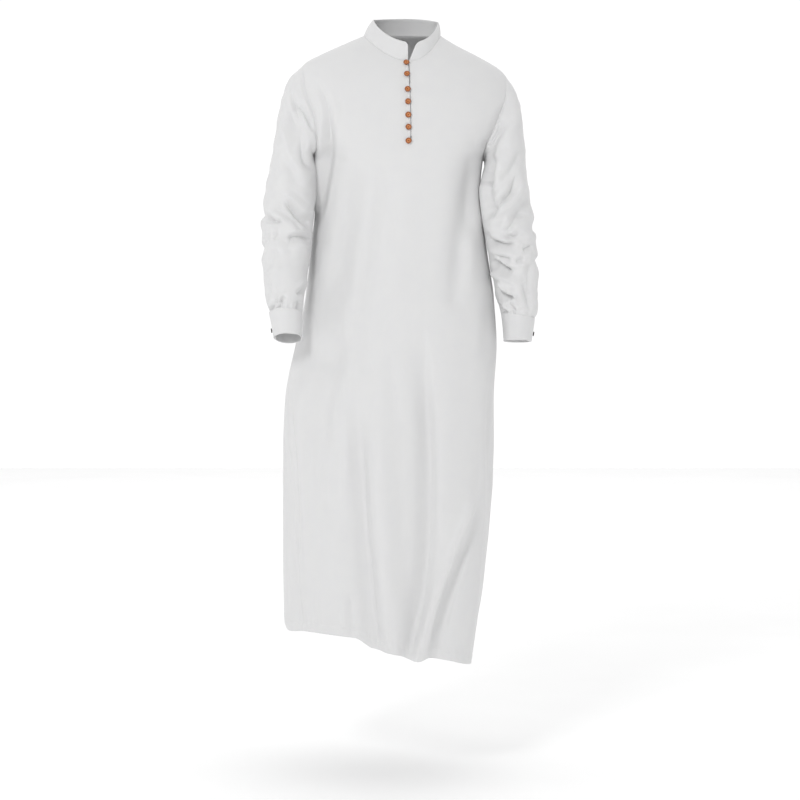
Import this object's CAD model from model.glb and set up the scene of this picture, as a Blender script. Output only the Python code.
"""Visual model of a plain white thobe robe in the open form it has when it is worn.

Metres, +Z up. The front faces -Y and +X is the wearer's left. Every piece of cloth is a thin
shell on the form of its solid: the large folds are the solid's own, and the smaller creases
are laid on it one by one.
"""

import logging
import math
from dataclasses import dataclass
from enum import Enum
from functools import partial
from typing import Any, Callable, NamedTuple, Sequence

import bpy
import numpy as np
from mathutils import Matrix, Vector


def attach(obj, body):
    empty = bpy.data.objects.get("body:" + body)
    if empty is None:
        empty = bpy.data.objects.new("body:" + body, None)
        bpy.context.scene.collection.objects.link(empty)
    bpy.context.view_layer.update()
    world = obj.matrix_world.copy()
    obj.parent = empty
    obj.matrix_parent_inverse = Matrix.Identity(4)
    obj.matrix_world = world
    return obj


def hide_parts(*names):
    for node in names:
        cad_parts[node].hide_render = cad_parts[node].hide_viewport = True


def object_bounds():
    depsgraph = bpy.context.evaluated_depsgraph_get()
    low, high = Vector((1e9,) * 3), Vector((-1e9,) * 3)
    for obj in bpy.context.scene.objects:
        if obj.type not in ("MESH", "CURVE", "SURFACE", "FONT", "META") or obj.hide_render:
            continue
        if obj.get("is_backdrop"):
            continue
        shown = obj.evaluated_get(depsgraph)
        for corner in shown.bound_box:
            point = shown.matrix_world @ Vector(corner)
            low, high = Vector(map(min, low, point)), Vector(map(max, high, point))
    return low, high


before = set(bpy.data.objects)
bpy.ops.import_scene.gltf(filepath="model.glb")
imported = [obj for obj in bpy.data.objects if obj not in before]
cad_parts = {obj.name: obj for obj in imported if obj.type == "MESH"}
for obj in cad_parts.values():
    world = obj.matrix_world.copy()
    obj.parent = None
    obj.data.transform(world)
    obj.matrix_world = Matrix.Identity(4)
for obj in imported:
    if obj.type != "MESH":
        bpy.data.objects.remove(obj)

LOG = logging.getLogger("thobe")
MM = 0.001
BODY_NAME = "root"
SEAM = 0.3 * MM  # between two sewn pieces
CLOTH = 0.9 * MM  # the robe's cloth
SOLID_CLOTH = 1.2 * MM  # the thickness that buttons and loops stand clear of
BAND = 1.9 * MM  # collar and cuffs, with their interlining
SOLID_BAND = 2.0 * MM  # the thickness by which the cuff's ends lie over each other
BUTTON_RADIUS = 6.4 * MM  # of the wooden buttons
Array = np.ndarray
Object = bpy.types.Object
Material = bpy.types.Material
NodeTree = bpy.types.NodeTree
Adder = Callable[..., bpy.types.Node]
Pair = tuple[float, float]
Triple = tuple[float, float, float]


# ---- rows of tables
class Ring(NamedTuple):
    """A ring round the body through four places (x, y, z in mm), and its curve's powers."""

    name: str
    right: Triple
    left: Triple
    front: Triple
    back: Triple
    square: float
    rise: float
    seam_right: float
    seam_left: float


class HemPoint(NamedTuple):
    """The hem's height in mm at one angle round the body."""

    angle: float
    z: float


class Fold(NamedTuple):
    """A large soft fold along a curve through start, a pull point and end (x, z in mm)."""

    name: str
    side: "View"
    start: Pair
    pull: Pair
    end: Pair
    width: float
    height: float
    skew: float = 0.0  # -1 to 1: the slope on the right is steeper above 0, on the left below


class Sleeve(NamedTuple):
    """A ring of a sleeve: its outer and inner edge, its middle, half its depth, its lean."""

    outer: Pair
    inner: Pair
    middle: float
    depth: float
    lean: float


class Bend(NamedTuple):
    """A large fold of a sleeve, from one angle and row to another (mm wide and high)."""

    name: str
    angle_1: float
    row_1: float
    angle_2: float
    row_2: float
    width: float
    height: float


class View(Enum):
    """The side a crease is laid on: its horizontal axis and the way out towards the viewer."""

    FRONT = (0, (0.0, -1.0, 0.0))
    BACK = (0, (0.0, 1.0, 0.0))
    RIGHT = (1, (-1.0, 0.0, 0.0))
    LEFT = (1, (1.0, 0.0, 0.0))


# ---- the maths
def smooth_column(keys: Sequence[float], values: Sequence[float], at: Array) -> Array:
    """Read a smooth curve that never overshoots its points.

    Args:
        keys: Where the points are, rising.
        values: The points' values.
        at: The places to read.

    Returns:
        The curve's values there.
    """
    keys, values, at = (np.asarray(v, float) for v in (keys, values, at))
    steps = np.diff(keys)
    rates = np.diff(values) / steps
    slopes = np.zeros_like(values)
    slopes[0], slopes[-1] = rates[0], rates[-1]
    before, after = rates[:-1], rates[1:]
    same_way = before * after > 0
    total = np.where(same_way, before + after, 1.0)
    slopes[1:-1] = np.where(same_way, 2 * before * after / total, 0.0)
    i = np.clip(np.searchsorted(keys, at, side="right") - 1, 0, len(keys) - 2)
    h = steps[i]
    t = (at - keys[i]) / h
    return (
        (1 + 2 * t) * (1 - t) ** 2 * values[i]
        + t * (1 - t) ** 2 * h * slopes[i]
        + t * t * (3 - 2 * t) * values[i + 1]
        + t * t * (t - 1) * h * slopes[i + 1]
    )


def read_table(rows: Sequence[NamedTuple], at: Array) -> dict[str, Any]:
    """Read each number of a table's rows off smooth curves.

    Args:
        rows: The table.
        at: The places to read, 0 being the first row.

    Returns:
        The numbers at those places by the names of the columns.
    """
    keys = np.arange(len(rows))
    read: dict[str, Any] = {}
    for name in rows[0]._fields:
        values = [getattr(row, name) for row in rows]
        if isinstance(values[0], str):
            continue
        if isinstance(values[0], tuple):
            read[name] = [
                smooth_column(keys, [v[k] for v in values], at) for k in range(len(values[0]))
            ]
        else:
            read[name] = smooth_column(keys, values, at)
    return read


def rounded(angle: Array, power: Array | float) -> tuple[Array, Array]:
    """Points of the curve |x|^power + |y|^power = 1.

    Args:
        angle: Where on the curve, in radians.
        power: 2 for a circle, more for a squarer curve.

    Returns:
        Their x and their y.
    """
    c, s = np.cos(angle), np.sin(angle)
    reach = (np.abs(c) ** power + np.abs(s) ** power) ** (-1 / power)
    return reach * c, reach * s


def bell(distance: Array, width: Array | float) -> Array:
    """A soft bump: 1 on the line, falling to nothing about two widths away."""
    return np.exp(-((distance / width) ** 2))


def ease(value: Array) -> Array:
    """A smooth step from 0 to 1 while the value runs from 0 to 1."""
    value = np.clip(value, 0, 1)
    return value * value * (3 - 2 * value)


def unit(v: Array) -> Array:
    """Vectors made one long."""
    return v / np.maximum(np.linalg.norm(v, axis=-1, keepdims=True), 1e-12)


def matched(angle: Array | float, station: Array | float) -> Sequence[Array]:
    """Angles and stations as arrays of one shape."""
    return np.broadcast_arrays(np.asarray(angle, float), np.asarray(station, float))


def normal_of(surface: Callable[[Array, Array], Array], angle: Array, station: Array,
              turn: float = 0.25, step: float = 0.01) -> Array:
    """Outward unit normals of a surface.

    Args:
        surface: Gives its points by angle and station.
        angle: Degrees round it.
        station: Rows down it.
        turn: Half the span of degrees that a slope is taken over.
        step: Half the span of rows.

    Returns:
        The normals.
    """
    around = surface(angle + turn, station) - surface(angle - turn, station)
    down = surface(angle, station + step) - surface(angle, station - step)
    return unit(np.cross(around, down))


def grid_normals(points: Array, closed: bool) -> Array:
    """Unit normals of a grid of points, out of the middle of the grid's rows.

    Args:
        points: Rows by columns of points.
        closed: Whether the last column meets the first.

    Returns:
        One normal for each point.
    """
    if closed:
        around = np.roll(points, -1, axis=1) - np.roll(points, 1, axis=1)
    else:
        around = np.gradient(points, axis=1)
    return unit(np.cross(around, np.gradient(points, axis=0)))


def smooth_path(path: Sequence[Pair], parts: int = 7) -> Array:
    """A soft curve through a short list of places.

    Args:
        path: The places.
        parts: How many stretches to cut each span into.

    Returns:
        The curve as a finer list.
    """
    p = np.asarray(path, float)
    if len(p) < 3:
        return p[0] + np.linspace(0, 1, parts + 1)[:, None] * (p[-1] - p[0])
    ends = np.concatenate([[2 * p[0] - p[1]], p, [2 * p[-1] - p[-2]]])
    t = np.linspace(0, 1, parts, endpoint=False)[:, None]
    spans = []
    for a, b, c, d in zip(ends[:-3], ends[1:-2], ends[2:-1], ends[3:]):
        spans.append(0.5 * (2 * b + (c - a) * t + (2 * a - 5 * b + 4 * c - d) * t**2
                            + (3 * b - a - 3 * c + d) * t**3))
    return np.concatenate([*spans, p[-1:]])


def path_distance(x: Array, z: Array, path: Array) -> tuple[Array, Array]:
    """How far points lie from a path.

    Args:
        x: Their first coordinates.
        z: Their second coordinates.
        path: The path's places.

    Returns:
        The distances, above 0 on the path's left, and the shares of the path passed there.
    """
    near = np.full(x.shape, np.inf)
    side = np.ones(x.shape)
    along = np.zeros(x.shape)
    runs = np.linalg.norm(np.diff(path, axis=0), axis=1)
    before = np.concatenate([[0], np.cumsum(runs)]) / max(runs.sum(), 1e-9)
    for k, (a, b) in enumerate(zip(path[:-1], path[1:])):
        run = b - a
        t = np.clip(((x - a[0]) * run[0] + (z - a[1]) * run[1]) / (run @ run), 0, 1)
        dx, dz = x - a[0] - t * run[0], z - a[1] - t * run[1]
        gap = np.hypot(dx, dz)
        closer = gap < near
        near = np.where(closer, gap, near)
        side = np.where(closer, run[0] * dz - run[1] * dx, side)
        along = np.where(closer, before[k] + t * (before[k + 1] - before[k]), along)
    return np.where(side < 0, -near, near), along


# ---- cloth detail
@dataclass(frozen=True)
class Crease:
    """One crease laid on the cloth along a path seen from one side, fading at both ends.

    Its height is above 0 for a ridge and below for a trough. The skew (-1 to 1) makes the
    slope on the path's right steeper where it is above 0, and on its left where it is below.
    Narrow creases have a sharp bottom and wide ones a round one.
    """

    name: str
    path: tuple[Pair, ...]
    width: float
    height: float
    skew: float = 0.0
    view: View = View.FRONT
    taper: float = 0.28  # share of the path over which each end fades
    lip: float = 0.30  # how far the cloth beside it moves the other way
    crisp_to: float = 12.5  # mm: wider creases are round, and 6 mm narrower ones are sharp

    def lift(self, points: Array, normals: Array) -> Array:
        """How far the crease moves each point along its normal.

        Args:
            points: Points of the cloth, in metres.
            normals: Their unit normals.

        Returns:
            The move of each point, in metres.
        """
        axis, facing = self.view.value
        u, z = points[..., axis] / MM, points[..., 2] / MM
        seen = ease((normals @ np.array(facing) - 0.02) / 0.35)
        path = smooth_path(self.path)
        reach = 3.6 * self.width * (1 + abs(self.skew))
        low, high = path.min(axis=0) - reach, path.max(axis=0) + reach
        near = (u > low[0]) & (u < high[0]) & (z > low[1]) & (z < high[1]) & (seen > 0)
        moved = np.zeros(u.shape)
        if not near.any():
            return moved
        gap, along = path_distance(u[near], z[near], path)
        width = self.width * (1 + self.skew * np.tanh(1.5 * gap / self.width))
        ends = ease(along / self.taper + 0.25) * ease((1 - along) / self.taper + 0.25)
        crisp = ease((self.crisp_to - self.width) / 6)
        sharp = np.exp(-(np.hypot(gap, 1.2) - 1.2) / (0.8 * width))
        shape = (1 - crisp) * bell(gap, width) + crisp * sharp
        shape = shape - self.lip * bell(np.abs(gap) - 2.1 * width, 0.9 * width)
        moved[near] = self.height * MM * shape * ends * seen[near]
        return moved


@dataclass(frozen=True)
class Ripple:
    """Irregular shallow waves of the cloth, summed from a few seeded plane waves."""

    seed: int
    height: float  # mm
    across: Pair  # shortest and longest wave round the cloth, mm
    down: Pair  # shortest and longest wave down the cloth, mm
    count: int = 16

    def lift(self, points: Array) -> Array:
        """How far the waves move each point out.

        Args:
            points: Points of the cloth, in metres.

        Returns:
            The move of each point, in metres.
        """
        rng = np.random.default_rng(self.seed)
        total = np.zeros(points.shape[:-1])
        x, y, z = (points[..., k] / MM for k in range(3))
        bent = 14 * np.sin(z / 83 + self.seed) + 9 * np.sin(x / 57 - z / 131)
        for _ in range(self.count):
            heading, phase = rng.uniform(0, math.tau, 2)
            across, down = rng.uniform(*self.across), rng.uniform(*self.down)
            way = rng.choice((-1.0, 1.0))
            total += np.sin(math.tau * (((x + bent) * math.cos(heading) + y * math.sin(heading))
                                        / across + way * z / down) + phase)
        return self.height * MM * total / math.sqrt(self.count / 2)


def total_lift(creases: Sequence[Crease], ripples: Sequence[Ripple], points: Array,
               normals: Array) -> Array:
    """The sum of what creases and ripples move each point out.

    Args:
        creases: The creases laid on the cloth.
        ripples: Its waves.
        points: Its points, in metres.
        normals: Their unit normals.

    Returns:
        The move of each point, in metres.
    """
    lift = np.zeros(points.shape[:-1])
    for crease in creases:
        lift += crease.lift(points, normals)
    for ripple in ripples:
        lift += ripple.lift(points)
    return lift


# ---- the forms' tables, in mm
# Rings of the body from the neck to the hem.
BODY = tuple(Ring(*row) for row in (
    ("neckline", (-81, -2, -2), (82, 6, -1), (14, -80, -62), (-6, 66, 4), 2.0, 1.8, 0, 0),
    ("collar bone", (-113, -7, -17), (115, 8, -22), (15.5, -101, -97), (-8, 92, -22), 2.1, 2.3, 0, 0),
    ("shoulder", (-162, -13, -39), (164, 12, -46), (17, -116, -132), (-9, 114, -64), 2.2, 2.5, 0, 0),
    ("tip", (-210, -18, -66), (220, 15, -83), (18, -125, -172), (-10, 128, -116), 2.3, 2.2, 0, 0),
    ("upper armhole", (-230, -17, -104), (237, 12, -122), (18.5, -130, -207), (-10, 134, -162), 2.4,
     1.9, 0, 0),
    ("armhole", (-224, -13, -158), (224, 9, -174), (18.5, -133, -238), (-9, 136, -206), 2.4, 1.9, 0, 0),
    ("lower armhole", (-197, -8, -214), (192, 6, -224), (18, -134, -267), (-8, 134, -247), 2.5, 1.9, 0,
     0),
    ("armpit", (-180, -2, -264), (172, 4, -268), (17, -134, -294), (-6, 130, -286), 2.5, 2.0, 0, 0),
    ("chest", (-184, 4, -352), (166, 2, -352), (14, -131, -362), (-4, 123, -358), 2.5, 2.0, 2, -2),
    ("waist", (-196, 6, -460), (181, 0, -460), (11, -131, -462), (-2, 118, -460), 2.4, 2.0, 5, -4),
    ("belly", (-208, 8, -560), (197, 0, -560), (8, -139, -560), (0, 127, -560), 2.4, 2.0, 8, -5),
    ("hip", (-229, 12, -660), (202, -4, -660), (4, -149, -660), (0, 143, -660), 2.4, 2.0, 12, -6),
    ("thigh", (-251, 16, -782), (194, -10, -784), (0, -161, -782), (-6, 158, -782), 2.4, 2.0, 18, -7),
    ("upper skirt", (-256, 20, -905), (190, -14, -915), (0, -172, -910), (-14, 172, -905), 2.4, 2.0, 25,
     -8),
    ("knee", (-256, 24, -1025), (182, -18, -1050), (6, -184, -1038), (-22, 186, -1028), 2.4, 2.0, 29,
     -8),
    ("shin", (-257, 28, -1140), (167, -22, -1195), (12, -196, -1170), (-30, 199, -1155), 2.4, 1.6, 31,
     -8),
    ("hem", (-255, 30, -1250), (143, -26, -1338), (18, -208, -1308), (-38, 212, -1290), 2.4, 1.4, 32,
     -8),
))

# The hem's height round the body: 0 is the wearer's left, 90 the front.
HEM = tuple(HemPoint(*row) for row in (
    (-90, -1290), (-45, -1308), (0, -1326), (25, -1329), (48, -1323), (66, -1312), (79, -1306),
    (86, -1314), (96, -1302), (113, -1290), (121, -1270), (145, -1266), (161, -1272),
    (172, -1262), (184, -1251), (210, -1262), (270, -1290),
))
HEM_START = 14.4  # the station below which the rings turn into the hem's line

# The large folds, which the solids have as well.
BODY_FOLDS = (
    *(Fold(name, View.FRONT, *row) for name, *row in (
        ("skirt trough, right leg", (-92, -740), (-90, -1070), (-58, -1310), 56, -15, -0.7),
        ("its edge", (-96, -790), (-86, -1060), (-54, -1310), 20, -17, -0.3),
        ("skirt ridge, middle", (-40, -760), (-36, -1050), (-10, -1310), 34, 9),
        ("skirt trough, middle", (38, -620), (88, -1080), (16, -1305), 18, -19, -0.35),
        ("crossing ridge", (156, -970), (72, -1145), (30, -1330), 21, 17),
        ("beside the ridge", (168, -1010), (106, -1140), (72, -1320), 19, -11),
        ("hip to thigh", (-190, -590), (-175, -720), (-170, -1010), 34, -10),
        ("armpit to waist", (-164, -150), (-126, -240), (-168, -440), 20, -4),
        ("chest, right side", (-98, -275), (-124, -440), (-158, -690), 28, -7),
        ("chest, middle", (-25, -290), (-56, -450), (-72, -690), 28, -5),
        ("chest, left side", (148, -270), (132, -390), (114, -560), 22, -8),
    )),
    *(Fold(name, View.BACK, *row) for name, *row in (
        ("back, right blade", (-120, -250), (-100, -480), (-150, -800), 28, -11),
        ("back, middle", (-10, -330), (10, -620), (-20, -900), 30, -8),
        ("back, left blade", (118, -260), (90, -460), (130, -760), 26, -11),
        ("back skirt, right", (-140, -800), (-160, -1050), (-130, -1310), 28, -15),
        ("back skirt, middle", (-50, -760), (-70, -1050), (-40, -1310), 26, -13),
        ("back skirt ridge", (10, -850), (0, -1100), (15, -1310), 32, 11),
        ("back skirt, left", (80, -780), (70, -1050), (90, -1320), 26, -14),
    )),
)

# Rings of the sleeves and the cuffs.
SLEEVE_RIGHT = tuple(Sleeve(*row) for row in (
    ((-210, -66), (-180, -264), -8, 76, 0.0),
    ((-237, -94), (-184, -262), -20, 77, 0.0),
    ((-254, -138), (-184, -272), -32, 75, 0.0),
    ((-268, -213), (-182, -290), -42, 72, 0.0),
    ((-279, -280), (-182, -318), -48, 70, 0.0),
    ((-288, -331), (-184, -351), -53, 68, -0.04),
    ((-295, -381), (-187, -389), -59, 66, -0.10),
    ((-296, -438), (-192, -447), -67, 63, -0.16),
    ((-294, -492), (-199, -503), -76, 60, -0.20),
    ((-289, -546), (-203, -540), -90, 56, -0.24),
    ((-282, -580), (-208, -570), -100, 50, -0.27),
    ((-276, -594), (-211, -594), -106, 45, -0.27),
))
CUFF_RIGHT = (
    SLEEVE_RIGHT[-1],
    Sleeve((-270, -620), (-210, -620), -113, 43, -0.27),
    Sleeve((-266, -645), (-211, -645), -119, 41, -0.27),
)
SLEEVE_LEFT = tuple(Sleeve(*row) for row in (
    ((220, -83), (172, -268), 9, 72, 0.0),
    ((235, -105), (175, -266), 0, 74, 0.0),
    ((246, -131), (176, -275), -12, 74, 0.0),
    ((253, -170), (173, -290), -33, 73, 0.0),
    ((259, -242), (167, -313), -50, 71, 0.0),
    ((261, -290), (164, -330), -60, 70, 0.0),
    ((269, -345), (165.5, -358), -63, 68, 0.0),
    ((279, -406), (172, -405), -62, 66, 0.0),
    ((284, -450), (178.5, -447), -59, 63, 0.0),
    ((288, -503), (189, -503), -55, 59, -0.03),
    ((288, -557), (200, -553), -50, 54, -0.06),
    ((287, -592), (208, -585), -45, 48, -0.08),
    ((279, -604), (212, -594), -44, 45, -0.08),
))
CUFF_LEFT = (
    SLEEVE_LEFT[-1],
    Sleeve((276, -628), (215, -623), -44, 43, -0.08),
    Sleeve((272, -653), (217, -652), -44, 41, -0.08),
)

# Large folds of the sleeves by angle (0 outside, 90 front, 180 inside, 270 back) and row.
BENDS_RIGHT = tuple(Bend(*row) for row in (
    ("front of the armhole", 60, 1.2, 128, 3.0, 17, -9),
    ("front of the arm", 62, 2.0, 100, 4.4, 17, -7),
    ("back of the armhole", 300, 1.2, 235, 3.4, 18, -9),
    ("elbow, upper", 75, 5.7, 150, 6.3, 15, -9),
    ("elbow, outer", 20, 6.6, 100, 7.2, 15, -7),
    ("elbow, back", 225, 6.0, 330, 6.4, 17, 8),
    ("above the cuff", 20, 8.7, 60, 10.2, 15, -7),
    ("above the cuff, back", 240, 8.6, 300, 10.0, 15, -7),
))
BENDS_LEFT = tuple(Bend(*row) for row in (
    ("front of the armhole", 120, 1.6, 146, 4.0, 15, -7),
    ("across the arm", 55, 4.4, 140, 6.2, 17, -9),
    ("back of the armhole", 300, 1.4, 240, 3.6, 18, -9),
    ("elbow, upper", 40, 6.4, 118, 6.9, 14, -8),
    ("elbow", 65, 7.8, 160, 7.7, 15, -9),
    ("elbow, back", 215, 7.2, 325, 7.4, 17, 8),
    ("forearm", 75, 9.3, 150, 8.7, 14, -8),
    ("above the cuff", 90, 10.7, 130, 10.1, 13, -6),
    ("above the cuff, back", 240, 9.6, 300, 10.9, 15, -7),
))

# The collar's upper edge, and where its two ends stand at foot and top (x).
COLLAR_TOP = Ring("collar top", (-61, 4, 33), (77, 14, 29), (20, -77, -24), (8, 60, 41), 2.0, 1.3, 0, 0)
COLLAR_END_RIGHT = (12.0, 12.0)  # at the foot, at the top: the wearer's right end
COLLAR_END_LEFT = (16.0, 32.0)

# ---- the creases of the cloth
def creases(view: View, rows: Sequence[tuple[Any, ...]]) -> tuple[Crease, ...]:
    """Creases seen from one side, by rows of name, width, height, skew and places in mm."""
    return tuple(Crease(name, tuple(path), width, height, skew, view)
                 for name, width, height, skew, *path in rows)


# Troughs are below 0 and ridges above. A crease runs through (x, z) on front and back, and
# through (y, z) on the two sides.
BODY_CREASES = (
    *creases(View.FRONT, (
        ("from the armhole down", 7, -7, 0.2, (-174, -116), (-160, -150), (-154, -190), (-154, -241),
         (-161, -293), (-171, -345), (-182, -385), (-193, -423)),
        ("beside it", 14, 14, -0.35, (-178, -180), (-170, -215), (-169, -250), (-175, -295), (-183, -345),
         (-193, -400)),
        ("hip to thigh", 24, -11, -0.2, (-130, -640), (-138, -680), (-145, -720), (-157, -760),
         (-171, -820), (-173, -900)),
        ("thigh light, right", 10, 4, 0, (-154, -872), (-154, -943), (-156, -1009)),
        ("side seam, right", 4, -3, 0.2, (-234, -784), (-225, -915), (-218, -1071), (-216, -1154)),
        ("beside the seam", 6, 3, 0, (-243, -790), (-236, -915), (-230, -1071), (-228, -1154)),
        ("beside the left sleeve", 11, 6, 0, (168, -250), (163, -300), (161, -360), (164, -430)),
        ("chest, right", 20, -4, 0.2, (-94, -253), (-109, -337), (-122, -421), (-135, -494), (-160, -568),
         (-168, -631)),
        ("chest, middle", 20, -3, 0.2, (-23, -275), (-38, -369), (-52, -453), (-63, -547), (-69, -651)),
        ("chest, left", 17, -5.5, -0.3, (152, -251), (139, -340), (129, -410), (122, -463), (113, -547)),
        ("armpit, left", 13, -4, 0, (179, -248), (161, -296), (152, -356), (152, -447)),
        ("waist, left", 13, -3.5, 0, (185, -568), (180, -631), (178, -705)),
        ("thigh light, middle", 9, 1.8, 0, (-115, -801), (-114, -876), (-116, -942)),
        ("light, middle", 20, 6, 0, (-50, -790), (-46, -921), (-40, -1065), (-28, -1188), (-18, -1269)),
        ("faint, middle", 12, -2.5, 0, (-29, -672), (-21, -730), (-12, -817)),
        ("upper light, left", 22, 3, 0, (94, -651), (92, -777), (94, -922), (81, -1067)),
        ("crossing ridge", 9, 6, -0.2, (160, -981), (117, -1081), (75, -1178), (46, -1263), (33, -1320)),
        ("below the ridge", 8, -7, 0.3, (165, -996), (125, -1074), (91, -1167), (71, -1246), (60, -1305)),
        ("second ridge", 13, 3.5, 0, (149, -1051), (125, -1132), (108, -1214), (100, -1277)),
        ("left edge", 10, -2.5, 0, (169, -821), (160, -947), (151, -1073)),
        ("rolled side", 5, -2.5, 0, (-247, -770), (-249, -929), (-248, -1119), (-243, -1222),
         (-236, -1262)),
        ("side, lower", 5, -2.5, 0, (-243, -1136), (-236, -1151), (-227, -1166)),
        ("lower right", 16, -2.5, 0, (-188, -1027), (-179, -1109), (-170, -1191)),
        ("hem trough", 8, -4.5, 0.2, (-110, -1184), (-109, -1229), (-107, -1274)),
        ("hem, right 1", 4, -2, 0, (-211, -1203), (-211, -1232), (-209, -1260)),
        ("hem, right 2", 5, -2, 0, (-189, -1209), (-189, -1238), (-187, -1262)),
        ("hem, right 3", 4, -1.5, 0, (-177, -1191), (-178, -1228), (-176, -1261)),
        ("hem, middle 1", 5, -1.5, 0, (-39, -1253), (-37, -1293)),
        ("hem, middle 2", 5, -1.6, 0, (-21, -1245), (-19, -1298)),
        ("hem tip", 5, -4, 0, (46, -1247), (43, -1281), (41, -1308)),
        ("hem, left", 5, -1.3, 0, (85, -1275), (87, -1317)),
    )),
    *creases(View.BACK, (
        ("shoulder blade, right", 17, -6, -0.3, (-150, -150), (-142, -235), (-120, -330), (-116, -440)),
        ("beside it, back", 10, 3.5, 0, (-166, -190), (-160, -270), (-152, -350)),
        ("shoulder blade, left", 16, -6, 0.3, (150, -165), (146, -250), (128, -350), (118, -450)),
        ("collar to back, right", 16, -2.5, 0.2, (-50, -28), (-66, -90), (-84, -160)),
        ("collar to back, left", 15, -2.2, 0, (44, -26), (58, -92), (80, -170)),
        ("small of the back", 20, -4, 0.2, (-110, -430), (-40, -470), (40, -468), (112, -436)),
        ("below it", 15, -3, 0, (-88, -500), (-20, -528), (66, -516)),
        ("seat, right", 20, -6, 0.3, (-90, -560), (-128, -660), (-138, -780), (-120, -930)),
        ("seat, left", 18, -5, -0.3, (96, -570), (118, -680), (112, -820), (88, -960)),
        ("back skirt 1", 15, -5, 0.2, (-176, -860), (-188, -1010), (-170, -1160), (-166, -1262)),
        ("back skirt 2", 16, 4.5, 0, (-96, -800), (-104, -980), (-88, -1130), (-92, -1270)),
        ("back skirt 3", 12, -6, 0.3, (-30, -900), (-40, -1050), (-22, -1180), (-26, -1285)),
        ("back skirt 4", 15, 5, -0.2, (36, -840), (52, -1000), (42, -1150), (50, -1290)),
        ("back skirt 5", 14, -6, -0.3, (116, -930), (108, -1080), (122, -1210), (118, -1300)),
        ("calf, crossing", 13, -4, 0.3, (-140, -1040), (-70, -1120), (10, -1180)),
    )),
    *creases(View.RIGHT, (
        ("right side 1", 16, -4, 0.2, (-70, -640), (-50, -780), (-58, -950), (-44, -1100)),
        ("right side 2", 17, -5, -0.2, (92, -600), (104, -780), (112, -960), (104, -1140)),
        ("right side 3", 13, 4, 0, (60, -960), (72, -1100), (66, -1240)),
    )),
    *creases(View.LEFT, (
        ("left side 1", 15, -5, 0.2, (-76, -700), (-92, -860), (-88, -1030), (-104, -1180)),
        ("left side 2", 14, 4, 0, (-24, -760), (-40, -940), (-28, -1110), (-36, -1290)),
        ("left side 3", 17, -5.5, -0.2, (64, -640), (84, -820), (76, -1010), (96, -1180)),
        ("left side 4", 13, 4, 0, (130, -900), (140, -1060), (132, -1230)),
    )),
)
BODY_RIPPLES = (Ripple(11, 0.5, (70, 190), (320, 900)), Ripple(12, 0.12, (26, 60), (60, 240)))

RIGHT_CREASES = (
    *creases(View.FRONT, (
        ("cap of the sleeve", 26, -5, 0, (-241, -98), (-232, -132), (-226, -171)),
        ("armpit, deep", 6, -9, 0.3, (-218, -148), (-202, -173), (-190, -197), (-179, -214)),
        ("armpit, upper", 8, -4.5, 0.2, (-224, -145), (-217, -169), (-204, -193), (-189, -214)),
        ("front of the arm", 13, -4, 0.2, (-239, -158), (-228, -195), (-208, -252), (-199, -299)),
        ("beside it", 9, 4.5, 0, (-251, -197), (-240, -244), (-220, -291)),
        ("elbow, upper", 9, -10, 0.4, (-247, -356), (-226, -377), (-207, -396), (-193, -407)),
        ("over the elbow", 7, 8, 0, (-243, -341), (-220, -364), (-195, -388)),
        ("elbow, middle", 9, -7.5, 0.3, (-268, -377), (-243, -388), (-226, -398), (-207, -417)),
        ("elbow, outer", 6, -11, 0.3, (-289, -390), (-270, -400), (-251, -402)),
        ("under the elbow", 7, -13, -0.3, (-239, -434), (-209, -432), (-188, -438)),
        ("short, outer", 5, -4.5, 0, (-287, -423), (-286, -444)),
        ("short, beside", 5, -4.5, 0, (-268, -417), (-270, -440)),
        ("forearm, outer", 9, -7, 0.3, (-266, -453), (-272, -476), (-282, -497), (-284, -511)),
        ("forearm, inner", 6, -8, 0, (-194, -530), (-207, -547), (-221, -553)),
        ("into the cuff", 5, -11, 0.3, (-246, -555), (-256, -576), (-265, -597)),
        ("into the cuff, outer", 5, -8, 0.2, (-263, -564), (-271, -580), (-275, -597)),
        ("into the cuff, inner", 5, -7, 0, (-215, -566), (-219, -591)),
    )),
    *creases(View.BACK, (
        ("back, cap", 16, -6.5, 0.2, (-232, -110), (-212, -160), (-190, -220)),
        ("back, upper arm", 14, -6.5, 0, (-262, -190), (-236, -240), (-204, -290)),
        ("back, elbow 1", 11, -8, 0.3, (-284, -350), (-250, -372), (-212, -366)),
        ("back, elbow 2", 11, -8.5, -0.3, (-290, -398), (-252, -414), (-206, -402)),
        ("back, elbow 3", 10, -6.5, 0, (-282, -446), (-244, -462), (-208, -456)),
        ("back, forearm", 10, -6.5, 0.2, (-276, -492), (-240, -520), (-214, -560)),
    )),
    *creases(View.RIGHT, (
        ("outside, upper", 14, -5, 0.2, (-20, -160), (-52, -250), (-40, -340)),
        ("outside, elbow 1", 10, -8, 0.3, (-100, -396), (-62, -384), (-22, -404)),
        ("outside, elbow 2", 10, -6.5, -0.3, (-104, -446), (-66, -458), (-30, -438)),
        ("outside, cuff", 8, -5, 0.2, (-128, -530), (-110, -566), (-100, -596)),
    )),
)
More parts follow.
